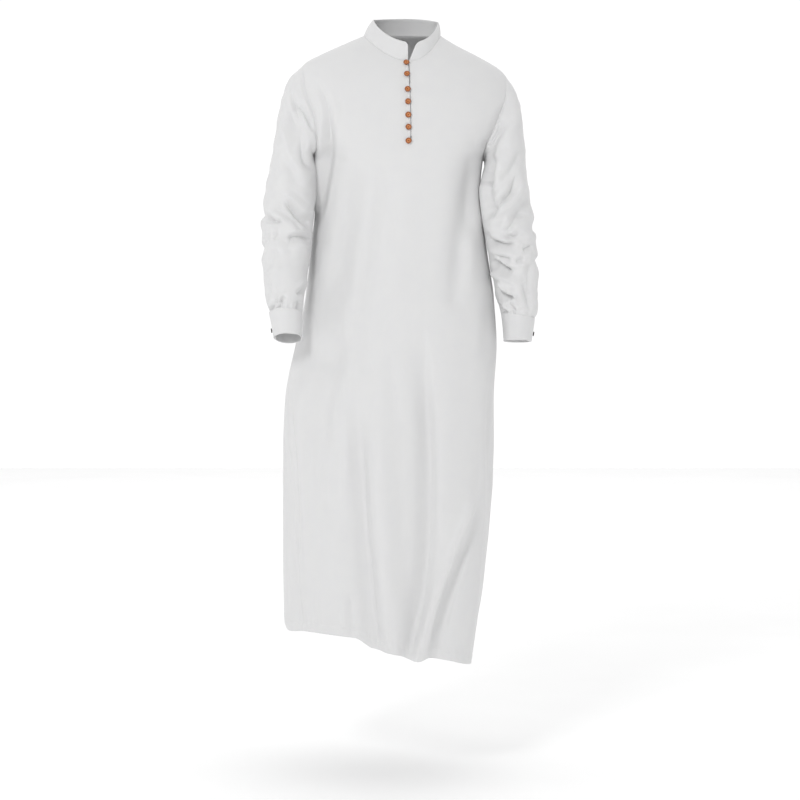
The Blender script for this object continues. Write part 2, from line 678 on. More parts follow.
LEFT_CREASES = (
    *creases(View.FRONT, (
        ("front of the armhole", 10, -8, 0, (209, -191), (196, -214), (183, -240)),
        ("armpit", 7, -11, 0.3, (191, -261), (181, -291), (170, -328)),
        ("underside", 12, -19, 0.2, (178, -291), (172, -331), (172, -368), (181, -396)),
        ("round the elbow", 7, -11.5, -0.35, (241, -303), (235, -331), (225, -347), (208, -362),
         (193, -377), (176, -393)),
        ("beside it", 9, 7.5, 0, (252, -316), (248, -343), (233, -364), (214, -379), (200, -393)),
        ("outer elbow", 6, -9.5, -0.3, (265, -385), (248, -389), (237, -398), (225, -414), (210, -427)),
        ("small, middle", 5, -7.5, 0, (210, -432), (229, -433), (248, -431)),
        ("under the elbow", 6, -13, -0.35, (174, -438), (195, -447), (216, -450), (240, -449)),
        ("its upper lip", 6, 7.5, 0, (181, -425), (202, -435), (223, -440)),
        ("small, below", 5, -9.5, -0.2, (198, -475), (212, -477), (229, -482)),
        ("small, outer", 5, -7, 0, (238, -486), (257, -479)),
        ("outer, upper", 5, -7.5, 0, (254, -463), (275, -450)),
        ("forearm", 7, -15, -0.3, (179, -486), (196, -490), (210, -498), (232, -509)),
        ("forearm lip", 7, 7, 0, (187, -505), (206, -515), (228, -528)),
        ("lower forearm", 6, -15, -0.3, (194, -534), (211, -555), (232, -564)),
        ("ridge over it", 5, 7.5, 0, (202, -528), (217, -542), (232, -553)),
        ("into the cuff", 5, -9.5, 0, (219, -572), (230, -583), (241, -591)),
        ("round the cuff", 5, -11, 0, (203, -570), (211, -587), (228, -599)),
        ("outer, long", 8, -7, 0, (271, -488), (268, -526), (270, -568)),
        ("outer, lower", 7, -7.5, 0, (253, -530), (264, -559), (272, -593)),
    )),
    *creases(View.BACK, (
        ("back, cap", 16, -6.5, -0.2, (236, -120), (216, -170), (196, -232)),
        ("back, upper arm", 14, -6.5, 0, (250, -216), (226, -262), (200, -306)),
        ("back, elbow 1", 11, -8, 0.3, (262, -372), (226, -390), (190, -382)),
        ("back, elbow 2", 11, -8.5, -0.3, (276, -424), (236, -440), (196, -428)),
        ("back, elbow 3", 10, -6.5, 0, (276, -476), (240, -490), (206, -484)),
        ("back, forearm", 10, -6.5, 0.2, (274, -520), (246, -546), (222, -576)),
    )),
    *creases(View.LEFT, (
        ("outside, upper", 14, -5, 0.2, (-4, -200), (-36, -290), (-28, -380)),
        ("outside, elbow 1", 10, -8, 0.3, (-92, -424), (-52, -412), (-14, -430)),
        ("outside, elbow 2", 10, -6.5, -0.3, (-90, -470), (-54, -484), (-18, -466)),
        ("outside, cuff", 8, -5, 0.2, (-60, -556), (-46, -580), (-38, -600)),
    )),
)
SLEEVE_RIPPLES = (Ripple(21, 0.55, (60, 150), (45, 110)), Ripple(22, 0.22, (22, 50), (20, 50)))


# ---- the body's form
@dataclass(frozen=True)
class BodyForm:
    """The robe's body as a surface: an angle round it (0 left, 90 front) and a station down.

    The stations are the rows of the table of rings. The surface follows the middle of the
    cloth of front and back, and both read it, so that they meet at every seam.
    """

    rings: tuple[Ring, ...] = BODY
    hem: tuple[HemPoint, ...] = HEM
    folds: tuple[Fold, ...] = BODY_FOLDS
    creases: tuple[Crease, ...] = BODY_CREASES
    ripples: tuple[Ripple, ...] = BODY_RIPPLES
    tip: float = 3.0  # station of the shoulder tip
    armpit: float = 7.0
    slit_end: float = 5.0
    armhole_cut: float = 38.0  # degrees by which the armhole cuts into front and back
    hem_allowance: float = 18.0  # mm turned up and stitched
    hem_pucker: float = 0.85  # mm
    hem_degree: float = 3.78  # mm round the hem for one degree

    def ring_points(self, row: dict[str, Any], angle: Array) -> Array:
        """Points of rings.

        Args:
            row: The rings' numbers, read from a table.
            angle: Degrees round them.

        Returns:
            The points, in metres.
        """
        c, s = rounded(np.radians(angle), row["square"])
        left, right, front, back = row["left"], row["right"], row["front"], row["back"]
        on_left, on_front = c > 0, s > 0
        centre, half = (left[0] + right[0]) / 2, (left[0] - right[0]) / 2
        ahead = np.abs(s)
        x = centre + half * c + (np.where(on_front, front[0], back[0]) - centre) * ahead**2
        y = (np.where(on_left, left[1], right[1]) * c**2
             + np.where(on_front, front[1], back[1]) * ahead)
        side = np.where(on_left, left[2], right[2])
        z = side + (np.where(on_front, front[2], back[2]) - side) * ahead ** row["rise"]
        return np.stack([x, y, z], axis=-1) * MM

    def plain(self, angle: Array, station: Array) -> Array:
        """The surface without folds; its lowest rings turn into the hem's line.

        Args:
            angle: Degrees round the body.
            station: Rows down the body.

        Returns:
            The points.
        """
        angle, station = matched(angle, station)
        last = len(self.rings) - 1.0
        points = self.ring_points(read_table(self.rings, station), angle)
        share = np.clip((station - HEM_START) / (last - HEM_START), 0, None)
        line = smooth_column([p.angle for p in self.hem], [p.z for p in self.hem],
                             (angle + 90) % 360 - 90)
        hem = self.ring_points(read_table(self.rings, np.full(angle.shape, last)), angle)
        points[..., 2] += share**2 * (line * MM - hem[..., 2])
        return points

    def folded(self, angle: Array, station: Array) -> Array:
        """The surface with its large folds, which is the middle of the solids' cloth.

        Args:
            angle: Degrees round the body.
            station: Rows down the body.

        Returns:
            The points.
        """
        angle, station = matched(angle, station)
        points = self.plain(angle, station)
        out = normal_of(self.plain, angle, station)
        x, z = points[..., 0] / MM, points[..., 2] / MM
        facing = np.sin(np.radians(angle))
        lift = np.zeros(x.shape)
        share = np.linspace(0, 1, 25)[:, None]
        for fold in self.folds:
            start, pull, end = (np.asarray(p, float) for p in (fold.start, fold.pull, fold.end))
            path = (1 - share) ** 2 * start + 2 * share * (1 - share) * pull + share**2 * end
            near, along = path_distance(x, z, path)
            seen = np.clip((facing if fold.side is View.FRONT else -facing) * 3, 0, 1)
            width = fold.width * (1 + fold.skew * np.tanh(1.5 * near / fold.width))
            lift += fold.height * MM * bell(near, width) * np.clip(4 * along, 0, 1) * seen
        return points + out * lift[..., None]

    def hem_finish(self, points: Array, angle: Array) -> Array:
        """What the turned-up hem, its line of stitches and its puckers add.

        Args:
            points: Points of the folded surface.
            angle: Their degrees round the body.

        Returns:
            How far each point moves out, in metres.
        """
        last = np.full(np.shape(angle), len(self.rings) - 1.0)
        above = (points[..., 2] - self.plain(angle, last)[..., 2]) / MM
        run = np.asarray(angle) * self.hem_degree
        waves = np.sin(run / 2.1 + 1.7 * np.sin(run / 11)) * (0.6 + 0.4 * np.sin(run / 31 + 1))
        doubled = 0.35 * ease((self.hem_allowance + 1 - above) / 3)
        stitched = -0.5 * bell(above - self.hem_allowance, 2.4)
        puckers = self.hem_pucker * waves * bell(above - self.hem_allowance, 14)
        return (doubled + stitched + puckers) * MM

    def draped(self, angle: Array, station: Array) -> tuple[Array, Array]:
        """The finished middle surface of the cloth.

        Args:
            angle: Degrees round the body.
            station: Rows down the body.

        Returns:
            The points and the unit normals that they were moved along.
        """
        angle, station = matched(angle, station)
        base = self.folded(angle, station)
        out = normal_of(self.folded, angle, station, 0.3, 0.015)
        lift = total_lift(self.creases, self.ripples, base, out) * ease(station / 0.8)
        lift += self.hem_finish(base, angle)
        return base + out * lift[..., None], out

    def seams(self, station: Array) -> tuple[tuple[Array, Array], tuple[Array, Array]]:
        """Where front and back are sewn together.

        Args:
            station: Rows down the body.

        Returns:
            The angles of the left and the right edge of the front, and of the back.
        """
        row = read_table(self.rings, station)
        share = np.clip((station - self.tip) / (self.armpit - self.tip), 0, 1)
        cut = self.armhole_cut * 2 * np.sqrt(share * (1 - share))
        left, right = row["seam_left"], 180 - row["seam_right"]
        return (left + cut, right - cut), (left - cut, right + cut)

    def degrees_for(self, length: float, angle: Array, station: Array) -> Array:
        """How many degrees round the body make a length in metres."""
        step = self.plain(angle + 0.5, station) - self.plain(angle - 0.5, station)
        return length / np.linalg.norm(step, axis=-1)

    def front_station(self, drop: float) -> float:
        """The station at which the centre front is so many mm below the origin."""
        tries = np.linspace(0, len(self.rings) - 1, 400)
        return float(np.interp(drop, -read_table(self.rings, tries)["front"][2], tries))


@dataclass(frozen=True)
class SleeveForm:
    """One sleeve's middle surface, from the armhole to the cuff."""

    rings: tuple[Sleeve, ...]
    bends: tuple[Bend, ...]
    creases: tuple[Crease, ...]
    on_left: bool
    ripples: tuple[Ripple, ...] = SLEEVE_RIPPLES
    step: float = 0.045  # rows of cells along the table of rings
    blend_rows: float = 4.0  # the armhole's shape has gone by this row
    leave: float = 1.8 * MM  # how far the sleeve runs straight out of the armhole
    gather: float = 1.1  # mm, the small gathers sewn into the cuff
    gathers: int = 17
    around: float = 0.95  # mm for one degree
    down: float = 48.0  # mm for one row

    def ring_points(self, place: Array, angle: Array) -> Array:
        """Points of the sleeve's rings."""
        return tube_points(read_table(self.rings, place), angle)

    def bend_lift(self, angle: Array, place: Array) -> Array:
        """How far the large folds move each point out.

        Args:
            angle: Degrees round the sleeve.
            place: Rows down the sleeve.

        Returns:
            The move of each point, in metres.
        """
        lift = np.zeros(angle.shape)
        for fold in self.bends:
            a = np.array([fold.angle_1 * self.around, fold.row_1 * self.down])
            run = np.array([fold.angle_2 * self.around, fold.row_2 * self.down]) - a
            dx, dz = angle * self.around - a[0], place * self.down - a[1]
            t = np.clip((dx * run[0] + dz * run[1]) / (run @ run), 0, 1)
            lift += fold.height * MM * bell(np.hypot(dx - t * run[0], dz - t * run[1]), fold.width)
        return lift

    def grid(self, body: BodyForm, rows: int) -> Array:
        """The sleeve's middle surface as rows of points round the arm.

        Args:
            body: The form whose armhole the sleeve is sewn into.
            rows: Rows of cells between shoulder tip and armpit.

        Returns:
            Rows by columns of points; the last column meets the first.
        """
        hole, hole_out, off = armhole(body, rows, self.on_left)
        count, last = len(hole), len(self.rings) - 1
        angle = np.arange(count) * 360.0 / count
        places = np.concatenate([[0.04, 0.09, 0.15, 0.22], np.arange(0.3, last - 0.03, self.step),
                                 [last]])
        at, place = np.meshgrid(angle, places)
        points = self.ring_points(place, at)
        start = self.ring_points(np.zeros(count), angle)
        weight = 1 - ease(place / self.blend_rows)
        points = points + weight[..., None] * (hole - start)[None]
        points = points + off[None] * (self.leave * bell(place, 0.22))[..., None]
        out = self.facing_out(points)
        fade = np.clip((last - place) / 1.2, 0, 1) * np.clip((place - 0.3) / 0.8, 0, 1)
        lift = self.bend_lift(at, place) * fade
        fine = total_lift(self.creases, self.ripples, points, out)
        fine = fine * ease((place - 0.05) / 0.5) * ease((last + 0.08 - place) / 0.25)
        drop = (last - place) * 22.0
        waves = np.sin(np.radians(at) * self.gathers + 1.3 * np.sin(np.radians(at) * 3))
        fine += self.gather * MM * waves * bell(drop - 5, 11) * ease(drop / 4)
        points = points + out * (lift + fine)[..., None]
        starts = [hole + off * share for share in (0.15 * MM, 0.9 * MM, self.leave)]
        points = np.concatenate([np.array(starts), points])
        points[0] -= hole_out * 0.5 * MM
        return points

    @staticmethod
    def facing_out(points: Array) -> Array:
        """Unit normals of the tube, out of its middle.

        Args:
            points: Rows by columns of points; the last column meets the first.

        Returns:
            One normal for each point.
        """
        out = grid_normals(points, closed=True)
        centre = points.mean(axis=1, keepdims=True)
        return out if np.sum(out * (points - centre)) > 0 else -out


def tube_points(row: dict[str, Any], angle: Array) -> Array:
    """Points of a sleeve's or a cuff's rings.

    Args:
        row: The rings' numbers, read from a table.
        angle: Degrees round them: 0 is the outside, 90 the front, 180 the inside.

    Returns:
        The points, in metres.
    """
    c, s = rounded(np.radians(angle), 2.15)
    outer, inner = row["outer"], row["inner"]
    x = (outer[0] + inner[0]) / 2 + (outer[0] - inner[0]) / 2 * c
    y = row["middle"] - row["depth"] * s
    z = (outer[1] + inner[1]) / 2 + (outer[1] - inner[1]) / 2 * c - row["lean"] * row["depth"] * s
    return np.stack([x, y, z], axis=-1) * MM


def armhole(body: BodyForm, rows: int, on_left: bool) -> tuple[Array, Array, Array]:
    """The armhole's line from the shoulder tip round the front and up the back again.

    Args:
        body: The form it is cut into.
        rows: Rows of cells between shoulder tip and armpit.
        on_left: Whether it is the wearer's left armhole.

    Returns:
        Its points, the body's normals there, and the way into the hole along the surface.
    """
    turn = np.linspace(0, math.pi, rows + 1)
    stations = body.tip + (body.armpit - body.tip) * (1 - np.cos(turn)) / 2
    front, back = body.seams(stations)
    edge = 0 if on_left else 1
    angles = np.concatenate([front[edge], back[edge][-2:0:-1]])
    places = np.concatenate([stations, stations[-2:0:-1]])
    points, out = body.draped(angles, places)
    along = unit(np.roll(points, -1, axis=0) - np.roll(points, 1, axis=0))
    off = unit(np.cross(along, out))
    if np.sum(off * (points.mean(axis=0) - points)) < 0:
        off = -off
    return points, out, off


# ---- cloth shells
@dataclass(frozen=True)
class Density:
    """How finely the cloth is cut into cells."""

    front_columns: int = 176
    back_columns: int = 128
    shoulder_rows: int = 24
    armhole_rows: int = 70
    skirt_rows: int = 140
    hem_rows: int = 24
    hem_stations: float = 0.4
    edge_shares: tuple[float, ...] = (0.0018, 0.0040, 0.0075)  # extra columns beside a seam
    slit_shares: tuple[float, ...] = (0.0025, 0.0060, 0.0105, 0.0160)  # and beside the slit

    def stations(self, body: BodyForm) -> Array:
        """Where the rows of front and back run, close together at the armhole's two ends.

        Args:
            body: The form that is cut.

        Returns:
            The stations, from the neck down.
        """
        last = len(body.rings) - 1
        turn = np.linspace(0, math.pi, self.armhole_rows + 1)
        return np.concatenate([
            np.linspace(0, body.tip, self.shoulder_rows, endpoint=False),
            body.tip + (body.armpit - body.tip) * (1 - np.cos(turn)) / 2,
            np.linspace(body.armpit, last - self.hem_stations, self.skirt_rows + 1)[1:],
            np.linspace(last - self.hem_stations, last, self.hem_rows + 1)[1:],
        ])


@dataclass(frozen=True)
class Grid:
    """A sheet of cloth as points and unit normals, with its cells and their place on the cut."""

    points: Array
    normals: Array
    cells: Array
    flat: Array


def lengths_along(points: Array, axis: int) -> Array:
    """How far each point of a grid lies along its row or column.

    Args:
        points: Rows by columns of points.
        axis: 1 for rows, 0 for columns.

    Returns:
        The lengths, in metres.
    """
    steps = np.linalg.norm(np.diff(points, axis=axis), axis=-1)
    pad = [(0, 0), (0, 0)]
    pad[axis] = (1, 0)
    return np.pad(np.cumsum(steps, axis=axis), pad)


def make_grid(points: Array, normals: Array, closed: bool = False, slit: int | None = None,
              slit_rows: int = 0) -> Grid:
    """Cut rows and columns of points into cells.

    Args:
        points: Rows by columns of points.
        normals: Their unit normals.
        closed: Whether the last column meets the first.
        slit: The left column of a doubled pair, if the grid has a slit.
        slit_rows: Rows down which the pair stays apart.

    Returns:
        The grid with its place on the flat cut in metres.
    """
    rows, columns = points.shape[:2]
    index = np.arange(rows * columns).reshape(rows, columns)
    around = points
    if slit is not None:
        index[slit_rows:, slit + 1] = index[slit_rows:, slit]
    if closed:
        index = np.concatenate([index, index[:, :1]], axis=1)
        around = np.concatenate([points, points[:, :1]], axis=1)
    u = lengths_along(around, 1)
    u = u - u[:, u.shape[1] // 2][:, None]
    v = np.broadcast_to(lengths_along(around, 0).mean(axis=1, keepdims=True), u.shape)

    def corners(a: Array) -> Array:
        """The four corners of each cell."""
        return np.stack([a[:-1, :-1], a[:-1, 1:], a[1:, 1:], a[1:, :-1]], axis=2)

    cells, flat = corners(index), corners(np.stack([u, v], axis=-1))
    if slit is not None:
        cells, flat = np.delete(cells, slit, axis=1), np.delete(flat, slit, axis=1)
    return Grid(points.reshape(-1, 3), normals.reshape(-1, 3), cells.reshape(-1, 4),
                flat.reshape(-1, 4, 2))


def new_object(name: str, points: Array, faces: Sequence[Sequence[int]],
               material: Material) -> Object:
    """Link a smooth mesh object.

    Args:
        name: The piece's name.
        points: Its points, in metres.
        faces: The numbers of each face's points.
        material: Its finish.

    Returns:
        The object.
    """
    mesh = bpy.data.meshes.new(name)
    mesh.from_pydata(points.tolist(), [], [tuple(face) for face in faces])
    mesh.materials.append(material)
    mesh.shade_smooth()
    item = bpy.data.objects.new(name, mesh)
    bpy.context.scene.collection.objects.link(item)
    LOG.info("%s: %d faces", name, len(mesh.polygons))
    return item


def shell(name: str, grid: Grid, thickness: Array | float,
          material: Material) -> Object:
    """Turn a grid into a closed sheet of cloth whose edges are rounded.

    Args:
        name: The piece's name.
        grid: Its middle surface.
        thickness: Of the cloth, in metres.
        material: Its finish.

    Returns:
        The new object, with its place on the flat cut as a UV map in metres.
    """
    points, normals, cells, flat = grid.points, grid.normals, grid.cells, grid.flat
    a, b, c = (points[cells[:, k]] for k in range(3))
    if np.sum(np.cross(b - a, c - b) * normals[cells[:, 0]]) < 0:
        cells, flat = cells[:, ::-1], flat[:, ::-1]
    starts, ends = cells.ravel(), np.roll(cells, -1, axis=1).ravel()
    count = len(points)
    rim = ~np.isin(starts * count + ends, ends * count + starts)
    first, last = starts[rim], ends[rim]
    sideways = np.cross(unit(points[last] - points[first]), normals[first])
    away = np.zeros_like(points)
    np.add.at(away, first, sideways)
    np.add.at(away, last, sideways)
    half = np.broadcast_to(np.asarray(thickness) / 2, (count,))[:, None]
    rim_points = np.unique(first)
    rim_of = np.full(count, -1)
    rim_of[rim_points] = 2 * count + np.arange(len(rim_points))
    everything = np.concatenate([points + normals * half, points - normals * half,
                                 (points + unit(away) * half)[rim_points]])
    faces = np.concatenate([
        cells, cells[:, ::-1] + count,
        np.stack([last, first, rim_of[first], rim_of[last]], axis=1),
        np.stack([rim_of[last], rim_of[first], first + count, last + count], axis=1),
    ])
    at_first = flat.reshape(-1, 2)[rim]
    at_last = np.roll(flat, -1, axis=1).reshape(-1, 2)[rim]
    edge = np.stack([at_last, at_first, at_first, at_last], axis=1)
    places = np.concatenate([flat, flat[:, ::-1], edge, edge])
    used = np.zeros(len(everything), bool)
    used[faces.ravel()] = True
    renumber = np.cumsum(used) - 1
    item = new_object(name, everything[used], renumber[faces].tolist(), material)
    item.data.uv_layers.new(name="cloth").data.foreach_set("uv", places.ravel())
    return item


def ring_faces(rings: int, sides: int, base: int = 0) -> list[tuple[int, ...]]:
    """The faces that join rings of points one after the other.

    Args:
        rings: How many rings there are.
        sides: Points in each ring.
        base: The number of the first point.

    Returns:
        Four numbers for each face.
    """
    faces = []
    for low in range(base, base + (rings - 1) * sides, sides):
        for j in range(sides):
            n = (j + 1) % sides
            faces.append((low + j, low + sides + j, low + sides + n, low + n))
    return faces


def lathe(name: str, profile: Sequence[Pair], placing: Matrix, sides: int,
          material: Material) -> Object:
    """Turn a profile round its own upright axis.

    Args:
        name: The piece's name.
        profile: Radius and height of its points, in metres, from the top to the foot.
        placing: Where it goes.
        sides: Points in each ring.
        material: Its finish.

    Returns:
        The object.
    """
    turn = np.arange(sides) * math.tau / sides
    rings = [np.stack([radius * np.cos(turn), radius * np.sin(turn), np.full(sides, height)],
                      axis=-1) for radius, height in profile[1:-1]]
    faces = [(a, d, c, b) for a, b, c, d in ring_faces(len(rings), sides)]
    top, foot = len(rings) * sides, len(rings) * sides + 1
    last = (len(rings) - 1) * sides
    for j in range(sides):
        n = (j + 1) % sides
        faces += [(top, n, j), (foot, last + j, last + n)]
    ends = np.array([[0, 0, profile[0][1]], [0, 0, profile[-1][1]]])
    item = new_object(name, np.concatenate([*rings, ends]), faces, material)
    item.matrix_world = placing
    return item


def tube(name: str, route: Array, radius: float, sides: int,
         material: Material) -> Object:
    """A round cord with closed ends, swept without twist.

    Args:
        name: The piece's name.
        route: The points of its middle line.
        radius: Of the cord, in metres.
        sides: Points round it.
        material: Its finish.

    Returns:
        The object.
    """
    along = unit(np.gradient(route, axis=0))
    up = np.array([0.0, 0.0, 1.0])
    side = unit(np.cross(along, up))
    over = np.cross(side, along)
    turn = np.arange(sides) * math.tau / sides
    rings = (route[:, None] + radius * (np.cos(turn)[None, :, None] * side[:, None]
                                        + np.sin(turn)[None, :, None] * over[:, None]))
    faces = ring_faces(len(route), sides)
    last = (len(route) - 1) * sides
    faces += [tuple(range(sides)), tuple(last + j for j in reversed(range(sides)))]
    return new_object(name, rings.reshape(-1, 3), faces, material)


@dataclass(frozen=True)
class Stitching:
    """Rows of small thread stitches laid on the cloth."""

    length: float = 2.3 * MM
    gap: float = 0.8 * MM
    thread: float = 0.17 * MM  # radius
    sides: int = 6

    def lay(self, name: str, routes: Sequence[tuple[Array, Array]],
            material: Material) -> Object:
        """Lay stitches along routes.

        Args:
            name: The piece's name.
            routes: For each route its points on the cloth's surface and their normals.
            material: The thread.

        Returns:
            One object with every stitch.
        """
        share = np.array([0.0, 0.16, 0.5, 0.84, 1.0])
        girth = np.array([0.45, 0.9, 1.0, 0.9, 0.45]) * self.thread
        height = np.array([-0.9, 0.15, 0.5, 0.15, -0.9]) * self.thread
        turn = np.arange(self.sides) * math.tau / self.sides
        vertices, faces, count = [], [], 0
        for points, normals in routes:
            run = np.concatenate([[0], np.cumsum(np.linalg.norm(np.diff(points, axis=0), axis=1))])
            starts = np.arange(self.gap, run[-1] - self.length, self.length + self.gap)
            at = starts[:, None] + share[None] * self.length
            spot = np.stack([np.interp(at, run, points[:, k]) for k in range(3)], axis=-1)
            out = unit(np.stack([np.interp(at, run, normals[:, k]) for k in range(3)], axis=-1))
            across = unit(np.cross((spot[:, -1] - spot[:, 0])[:, None], out))
            centre = spot + out * height[None, :, None]
            ring = (centre[:, :, None]
                    + girth[None, :, None, None] * (np.cos(turn)[:, None] * across[:, :, None]
                                                    + np.sin(turn)[:, None] * out[:, :, None]))
            vertices.append(ring.reshape(-1, 3))
            rings = len(share)
            for s in range(len(starts)):
                base = count + s * rings * self.sides
                faces += ring_faces(rings, self.sides, base)
                end = base + (rings - 1) * self.sides
                faces += [tuple(base + j for j in range(self.sides)),
                          tuple(end + j for j in reversed(range(self.sides)))]
            count += len(starts) * rings * self.sides
        return new_object(name, np.concatenate(vertices), faces, material)


def declare(piece: Object, slot: str, *nodes: str) -> Object:
    """Say what a piece rides on, which finish it takes and which nodes it stands for.

    Args:
        piece: The piece.
        slot: Its finish's place in the table.
        nodes: The nodes that it replaces.

    Returns:
        The same piece.
    """
    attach(piece, BODY_NAME)
    if nodes:
        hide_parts(*nodes)
    return piece


def quilted(edge: Array, line: float, deep: float) -> Array:
    """How far a band stands out, in mm, at distances from its edge, with a row of stitches."""
    return 0.16 * ease(edge / 2.4) - deep * bell(edge - line, 0.9)


def placing_matrix(point: Array, out: Array, down: Array) -> Matrix:
    """A placing whose X runs across the cloth, Y up along it and Z out of it.

    Args:
        point: Its origin.
        out: The way out of the cloth.
        down: The way down along it.

    Returns:
        The placing.
    """
    up = unit(-(down - out * np.dot(down, out)))
    columns = (np.cross(up, out), up, out, point)
    return Matrix([[float(c[i]) for c in columns] for i in range(3)] + [[0, 0, 0, 1]])


# ---- the assemblies
@dataclass(frozen=True)
class RobeBody:
    """Front, back and the strip behind the neck slit."""

    form: BodyForm
    finishes: "Finishes"
    density: Density = Density()
    slit_gap: float = 2.2 * MM
    slit_aside: tuple[float, ...] = (-2.6 * MM, 2.6 * MM, 12.5 * MM)  # its stitch rows
    slit_steps: int = 120
    slit_foot: float = 0.04  # rows below the slit's end
    slit_foot_steps: int = 12
    underlap_half: float = 14.0 * MM
    underlap_depth: float = 2.5 * MM
    underlap_rows: int = 60
    underlap_columns: int = 25
    groove_deep: float = 0.65 * MM
    groove_wide: float = 1.7 * MM

    def grid(self, edges: Pair, shares: Array, middle: float | None) -> tuple[Array, Array]:
        """Lay out the points of a panel.

        Args:
            edges: The angles of its two edges, row by row.
            shares: Its columns as shares of the way from edge to edge.
            middle: The angle of its centre line, if that is held.

        Returns:
            The angles and the stations of the points.
        """
        stations = self.density.stations(self.form)
        start, end = edges
        start = start + self.form.degrees_for(SEAM / 2, start, stations)
        end = end - self.form.degrees_for(SEAM / 2, end, stations)
        even = stations.copy()
        rows = slice(self.density.shoulder_rows,
                     self.density.shoulder_rows + self.density.armhole_rows + 1)
        even[rows] = np.linspace(self.form.tip, self.form.armpit, self.density.armhole_rows + 1)
        places = stations[:, None] + (even - stations)[:, None] * np.sin(math.pi * shares)[None]
        angles = start[:, None] + (end - start)[:, None] * shares[None]
        if middle is not None:
            pull = (middle - (start + end) / 2)[:, None]
            angles = angles + pull * (1 - np.abs(2 * shares - 1))[None]
        return angles, places

    def surface(self, angles: Array, places: Array) -> tuple[Array, Array]:
        """The draped surface with the small grooves where it is sewn at both edges.

        Args:
            angles: Degrees round the body.
            places: Rows down the body.

        Returns:
            The points and their unit normals.
        """
        points, out = self.form.draped(angles, places)
        run = lengths_along(points, 1)
        from_edge = np.minimum(run, run[:, -1:] - run)
        groove = self.groove_deep * bell(from_edge, self.groove_wide)
        return points - out * groove[..., None], out

    def front(self) -> Object:
        """The front, whose centre line is open down to the end of the slit.

        Returns:
            The piece.
        """
        d = self.density
        half = np.linspace(0, 0.5, d.front_columns // 2 + 1)
        left = np.sort(np.concatenate([half, d.edge_shares, 0.5 - np.array(d.slit_shares)]))
        shares = np.concatenate([left, 1 - left[::-1]])
        slit = len(left) - 1
        edges = self.form.seams(d.stations(self.form))[0]
        angles, places = self.grid(edges, shares, 90.0)
        stations = places[:, slit]
        rows = int(np.sum(stations < self.form.slit_end - 1e-6))
        part = self.form.degrees_for(self.slit_gap / 2, np.full(len(stations), 90.0), stations)
        part = part * np.clip((self.form.slit_end - stations) / 0.12, 0, 1)  # shut at its end
        angles[:, slit] -= part
        angles[:, slit + 1] += part
        points, out = self.surface(angles, places)
        grid = make_grid(points, out, slit=slit, slit_rows=rows)
        return self.finish("front_cloth", grid, "front_panel")

    def back(self) -> Object:
        """The back, on the same rows as the front so that the seams match.

        Returns:
            The piece.
        """
        d = self.density
        shares = np.sort(np.concatenate([np.linspace(0, 1, d.back_columns + 1), d.edge_shares,
                                         1 - np.array(d.edge_shares)]))
        left, right = self.form.seams(d.stations(self.form))[1]
        points, out = self.surface(*self.grid((right, left + 360), shares, None))
        return self.finish("back_cloth", make_grid(points, out), "back_panel")

    def finish(self, name: str, grid: Grid, node: str) -> Object:
        """Make the shell of a panel."""
        return declare(shell(name, grid, CLOTH, self.finishes.cloth), "robe_cloth", node)

    def underlap(self) -> Object:
        """The strip that closes the slit from behind.

        Returns:
            The piece.
        """
        rows = self.underlap_rows
        stations = np.linspace(0.12, self.form.slit_end + 0.25, rows)
        half = self.form.degrees_for(self.underlap_half, np.full(rows, 90.0), stations)
        angles = 90.0 + half[:, None] * np.linspace(-1, 1, self.underlap_columns)[None]
        points, out = self.form.draped(angles, np.broadcast_to(stations[:, None], angles.shape))
        grid = make_grid(points - out * self.underlap_depth, out)
        return self.finish("underlap_cloth", grid, "placket_underlap")

    def route(self, angles: Array, stations: Array) -> tuple[Array, Array]:
        """The points and unit normals of a line for stitches on the outside of the cloth."""
        points, out = self.form.draped(angles, stations)
        return points + out * CLOTH / 2, out

    def hem_stitches(self) -> Object:
        """The stitches that hold the turned-up hem, seen all round the outside.

        Returns:
            The piece.
        """
        angles = np.linspace(-90, 270, 721)
        tries = np.linspace(len(self.form.rings) - 1.5, len(self.form.rings) - 1, 30)
        at, places = np.meshgrid(angles, tries)
        z = self.form.plain(at, places)[..., 2]
        above = (z - z[-1]) / MM
        stations = np.array([np.interp(-self.form.hem_allowance, -above[:, j], tries)
                             for j in range(len(angles))])
        routes = [self.route(angles, stations)]
        return declare(Stitching().lay("stitches_hem", routes, self.finishes.thread), "robe_cloth")

    def slit_stitches(self) -> Object:
        """Stitches along both edges of the slit, beside it and across its foot.

        Returns:
            The piece.
        """
        end = self.form.slit_end + self.slit_foot
        down = np.linspace(0.15, end, self.slit_steps)
        across = np.linspace(self.slit_aside[0], self.slit_aside[-1], self.slit_foot_steps)
        lines = [(down, aside) for aside in self.slit_aside]
        lines.append((np.full(self.slit_foot_steps, end), across))
        routes = []
        for stations, aside in lines:
            turn = self.form.degrees_for(1.0, np.full(len(stations), 90.0), stations) * aside
            routes.append(self.route(90.0 + turn, stations))
        return declare(Stitching().lay("stitches_slit", routes, self.finishes.thread), "robe_cloth")


